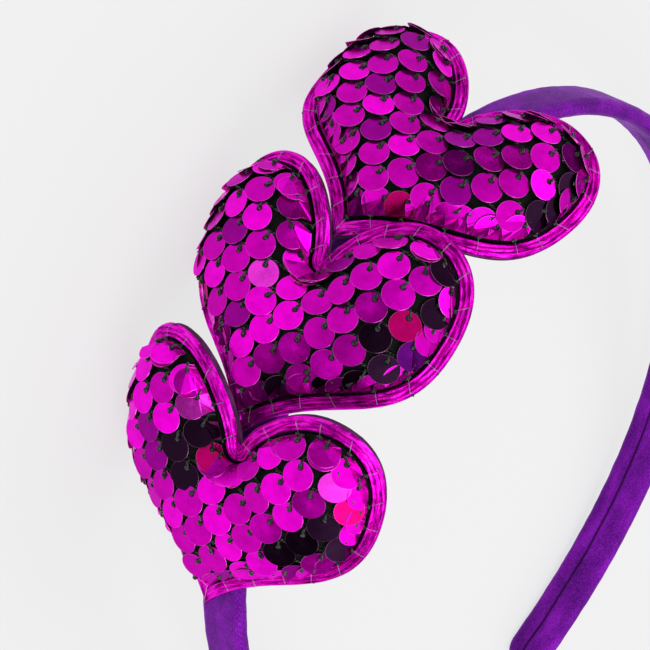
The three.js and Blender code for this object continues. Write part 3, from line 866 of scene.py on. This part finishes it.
film = sequin_film()
chance = random.Random(11)
model_disc = punch_sequin()
for heart in HEARTS:
    sequins = sew_sequins(heart, model_disc, chance)
    put_on_band(sequins, heart)
    finish_piece(sequins, film, "sequins", angle=30)
bpy.data.objects.remove(model_disc)


# Sewing thread. Dark glossy green grey thread: corded stitches run along every row under the
# sequins, come up through each hole in a knot, and tack the foil rim down on both its sides.
THREAD = 0.15 * MM
CORD_TURN = 1.15 * MM
CORD_RADIUS = 0.2 * MM
CORD_HEIGHT = 0.12 * MM
CORD_WAVER = 0.35 * MM
CORD_MARGIN = 0.3 * MM
CORD_STEPS = 6
CORD_SHORTEST = 3
KNOT_TURN = 0.75 * MM
TACK_PITCH = 5.4 * MM
TACK_TURN = 0.8 * MM


def twist(path, radii, turn, plies, start=0.0):
    """Strands laid round a path of points in helices, with a radius for each point."""
    strands = [[] for _ in range(plies)]
    way = start
    for i, point in enumerate(path):
        ahead = path[min(i + 1, len(path) - 1)] - path[max(i - 1, 0)]
        if i:
            way += (path[i] - path[i - 1]).length
        side = ahead.cross(Vector((0, 0, 1)))
        side = side.normalized() if side.length > 1e-9 else Vector((1, 0, 0))
        rise = side.cross(ahead).normalized()
        for k, strand in enumerate(strands):
            angle = 2 * math.pi * (way / turn + k / plies)
            strand.append(point + (side * math.cos(angle) + rise * math.sin(angle)) * radii[i])
    return strands


def spin_thread(name, strands, thickness):
    """All strands as round thread in one mesh."""
    curve = bpy.data.curves.new(name, "CURVE")
    curve.dimensions = "3D"
    curve.bevel_depth = thickness
    curve.bevel_resolution = 0
    curve.use_fill_caps = True
    for strand in strands:
        spline = curve.splines.new("POLY")
        spline.points.add(len(strand) - 1)
        for point, place in zip(spline.points, strand):
            point.co = (*place, 1)
    piece = bpy.data.objects.new(name, curve)
    bpy.context.scene.collection.objects.link(piece)
    select_only(piece)
    bpy.ops.object.convert(target="MESH")
    face_outward(piece)
    keep_layout(piece)
    return piece


def row_cords(heart):
    """Corded stitches along the top of every row of sequins."""
    strands = []
    step = CORD_TURN / CORD_STEPS
    for row in range(LATTICE_ROWS):
        y = ROW_TOP - row * ROW_PITCH + SEQUIN_DIAMETER / 2
        stretches = [[]]
        for i in range(round(HEART_WIDTH / step)):
            x = i * step - HEART_WIDTH / 2
            bow_y = y + CORD_WAVER * noise.noise(Vector((x / (5 * MM), row * 3.7, 0)))
            if depth_inside(pad_rim, x, bow_y) > CORD_MARGIN:
                height = pad_height(heart, x, bow_y, GROUND_SUNK) + CORD_HEIGHT
                stretches[-1].append(Vector((x, bow_y, height)))
            else:
                stretches.append([])
        for stretch in stretches:
            if len(stretch) > CORD_SHORTEST:
                strands += twist(stretch, [CORD_RADIUS] * len(stretch), CORD_TURN, 2)
    return strands


# A hole's stitch, station by station in millimetres: its share of the sideways lean, how far up
# from the hole, how far out of the film, and the radius that its plies are laid at.
KNOT_STATIONS = [
    (0, -0.1, -0.25, 0.3),
    (0, 0.05, 0.2, 0.3),
    (0, 0.2, 0.36, 0.26),
    (0, 0.42, 0.34, 0.14),
    (0.3, 0.75, 0.26, 0.09),
    (0.7, 1.1, 0.2, 0.09),
    (1, 1.35, -0.1, 0.09),
    (1, 1.5, -0.5, 0.09),
]


def hole_knots(heart, chance):
    """The stitch that comes up through a sequin's hole, knots there and goes over its upper edge."""
    strands = []
    for seat in heart["sewn"]:
        lean = chance.gauss(0, 0.25) * MM
        path = [seat @ Vector((lean * part, HOLE_OFFSET + up * MM, out * MM))
                for part, up, out, _ in KNOT_STATIONS]
        fine = [a.lerp(b, t / 3) for a, b in zip(path, path[1:]) for t in range(3)]
        widths = [radius * MM for *_, radius in KNOT_STATIONS[:-1]]
        radii = np.interp(range(len(fine)), range(0, len(fine), 3), widths)
        strands += twist(fine, list(radii), KNOT_TURN, 3, chance.random() * MM)
    return strands


def rim_tacks(heart, chance):
    """Knots on both sides of the foil rim, joined by a thread over it."""
    outer, inner = heart_line(0.5 * MM), heart_line(RIM_WIDTH + 0.1 * MM)
    strands, fine = [], []
    way = TACK_PITCH / 2
    for i in range(1, len(outer)):
        way += (outer[i] - outer[i - 1]).length
        if way < TACK_PITCH:
            continue
        way = chance.gauss(0, 0.5) * MM
        slip = min(max(i + chance.choice((-1, 0, 0, 1)), 0), len(outer) - 1)
        a, b = outer[i].to_3d(), inner[slip].to_3d()
        across = (b - a).normalized()
        for knot, height, size in ((a, 0.6, 0.6), (b, 1.25, 1)):
            run = across.cross(Vector((0, 0, 1))) * 0.45 * MM + across * chance.gauss(0, 0.2) * MM
            top = Vector((0, 0, CLEARANCE / 2 + height * MM))
            path = [knot + top + run * t for t in (-1, -0.5, 0, 0.5, 1)]
            radii = [size * radius * MM for radius in (0.06, 0.14, 0.2, 0.14, 0.06)]
            strands += twist(path, radii, TACK_TURN, 3, chance.random())
        heights = [CLEARANCE / 2 + (1.0 + 0.2 * (t % 6 > 0)) * MM for t in range(7)]
        fine.append([a.lerp(b, t / 6) + Vector((0, 0, height)) for t, height in enumerate(heights)])
    return strands, fine


def thread_gloss(name, shade):
    """Twisted polyester thread over a shade of green grey, with pale glints painted along its fibres as
    highlights.
    """
    material, tree, shader = new_material(name)
    lay = layout_of(tree)
    painted_glint = mottle(tree, lay, 2.4, 4, 0.7)
    # Painted highlight: the palest stops of the ramp stand in for glints on the glossy fibres.
    colour = ramp(tree, painted_glint, [
        (0.4, (0.3 * shade, 0.5 * shade, 0.4 * shade)), (0.58, (shade, 1.2 * shade, shade)),
        (0.7, (0.2, 0.26, 0.2)), (0.78, (0.5, 0.5, 0.46))])
    tree.links.new(colour, shader.inputs["Base Color"])
    shader.inputs["Roughness"].default_value = 0.32
    return material


thick_thread = thread_gloss("thick_thread", 0.03)
# The fine thread is painted paler as a highlight, for the glints along the thin tacks.
fine_thread_painted_pale = thread_gloss("fine_thread_painted_pale", 0.3)
for heart in HEARTS:
    tacks, fine = rim_tacks(heart, chance)
    stitches = row_cords(heart) + hole_knots(heart, chance) + tacks
    thick = spin_thread(f"{heart['name']}_heart_stitches", stitches, THREAD)
    thin = spin_thread(f"{heart['name']}_heart_tacks", fine, THREAD / 3)
    for piece, thread in ((thick, thick_thread), (thin, fine_thread_painted_pale)):
        put_on_band(piece, heart)
        finish_piece(piece, thread, "sequins")
bpy.data.objects.remove(curl_axis)


# The view. A translucent table lit from below, so that it shows hardly a shadow, soft light from
# above, a room with dark walls for the film to mirror, and the camera at the photograph's angle.
VIEW_TURN = 0.950205
VIEW_RISE = 0.413128
VIEW_ROLL = 0.182409
VIEW_SHIFT = (-37.4015 * MM, -38.8809 * MM)
VIEW_DISTANCE = 674.849 * MM
VIEW_LENS = 209.86
TABLE_SHADE = (0.12, 0.12, 0.12)
TABLE_GLOW = 0.7

back_to_camera = Vector((-math.sin(VIEW_TURN) * math.cos(VIEW_RISE), math.sin(VIEW_RISE),
                         math.cos(VIEW_TURN) * math.cos(VIEW_RISE)))
level = Vector((math.cos(VIEW_TURN), 0, math.sin(VIEW_TURN)))
steep = back_to_camera.cross(level)
to_right = math.cos(VIEW_ROLL) * level + math.sin(VIEW_ROLL) * steep
to_top = math.cos(VIEW_ROLL) * steep - math.sin(VIEW_ROLL) * level
eye = back_to_camera * VIEW_DISTANCE + to_right * VIEW_SHIFT[0] + to_top * VIEW_SHIFT[1]
camera = bpy.data.objects.new("camera", bpy.data.cameras.new("camera"))
bpy.context.scene.collection.objects.link(camera)
camera.data.lens = VIEW_LENS
camera.data.clip_start = 0.05
camera.data.clip_end = 10
turned = Matrix((to_right, to_top, back_to_camera)).transposed().to_4x4()
camera.matrix_world = lying @ Matrix.Translation(eye) @ turned
bpy.context.scene.camera = camera

bpy.ops.object.select_all(action="DESELECT")
bpy.ops.mesh.primitive_plane_add(size=6)
table = bpy.context.object
table.name = "table"
table_top, _, table_shader = new_material("table_top")
table_shader.inputs["Base Color"].default_value = (*TABLE_SHADE, 1)
table_shader.inputs["Emission Color"].default_value = (1, 1, 1, 1)
table_shader.inputs["Emission Strength"].default_value = TABLE_GLOW
table_shader.inputs["Roughness"].default_value = 0.7
table.data.materials.append(table_top)


def soft_light(name, place, size, power):
    """A square softbox that faces the headband."""
    lamp = bpy.data.objects.new(name, bpy.data.lights.new(name, "AREA"))
    bpy.context.scene.collection.objects.link(lamp)
    lamp.data.size = size
    lamp.data.energy = power
    lamp.location = place
    lamp.rotation_mode = "QUATERNION"
    lamp.rotation_quaternion = Vector(place).to_track_quat("Z", "Y")


soft_light("key", (-0.5, -0.6, 1.0), 0.9, 6)
soft_light("fill", (0.6, 0.5, 0.9), 0.9, 3)
room = bpy.data.worlds.new("room")
room.use_nodes = True
looking = wire(room.node_tree, "ShaderNodeTexCoord").outputs["Generated"]
rise = wire(room.node_tree, "ShaderNodeSeparateXYZ", {0: looking}).outputs["Z"]
walls = ramp(room.node_tree, rise, [(0.0, (0.06, 0.06, 0.06)), (0.3, (0.12, 0.12, 0.12)),
                                    (0.5, (0.95, 0.95, 0.95)), (1.0, (1.1, 1.1, 1.1))])
room.node_tree.links.new(walls, room.node_tree.nodes["Background"].inputs["Color"])
bpy.context.scene.world = room
bpy.context.scene.view_settings.view_transform = "Standard"
